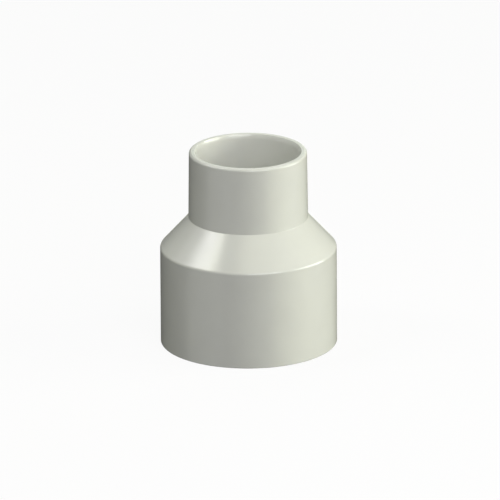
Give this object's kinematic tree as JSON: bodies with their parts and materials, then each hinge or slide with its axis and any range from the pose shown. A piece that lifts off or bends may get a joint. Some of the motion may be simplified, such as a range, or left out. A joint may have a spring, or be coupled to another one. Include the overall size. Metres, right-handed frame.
{
  "type": "concentric pipe reducer",
  "caption": "Straight plastic pipe reducer: a large and a small plain socket on one axis, joined by a short cone, open right through.",
  "frame": {"origin": "middle of the large socket's mouth, in the plane of its rim, on which the fitting stands", "axes": "+Z along the pipe line from the large socket to the small socket; +X and +Y are any two directions square to it, because the fitting is round"},
  "size_m": [0.085, 0.085, 0.096],
  "materials": {
    "pvcu_body": "as-moulded satin gloss, off-white grey PVC-U"
  },
  "bodies": {
    "root": {"reducer_body": "pvcu_body"}
  },
  "joints": []
}
